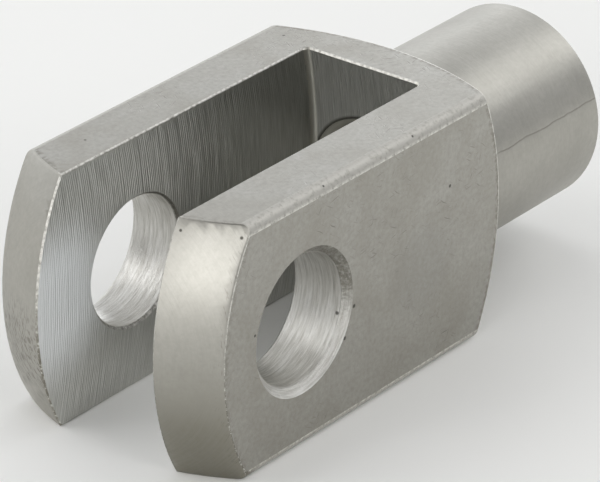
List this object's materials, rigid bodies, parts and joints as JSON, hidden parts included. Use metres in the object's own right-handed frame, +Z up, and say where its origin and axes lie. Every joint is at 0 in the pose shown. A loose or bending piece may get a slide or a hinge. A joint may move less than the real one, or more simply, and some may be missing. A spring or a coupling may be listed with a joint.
{
  "type": "rod clevis",
  "caption": "Fork head cut from square steel bar, with domed ears, a cross pin bore, a milled slot and a round neck bored for a rod's thread.",
  "frame": {"origin": "middle of the pin bore, halfway between the ears", "axes": "+X along the rod from the fork to the neck, +Y along the pin, +Z up, square to a flat of the bar"},
  "size_m": [0.0515, 0.02, 0.02],
  "materials": {
    "steel": "milled and turned stainless steel, tumbled"
  },
  "bodies": {
    "root": {"clevis_fork": "steel"}
  },
  "joints": []
}
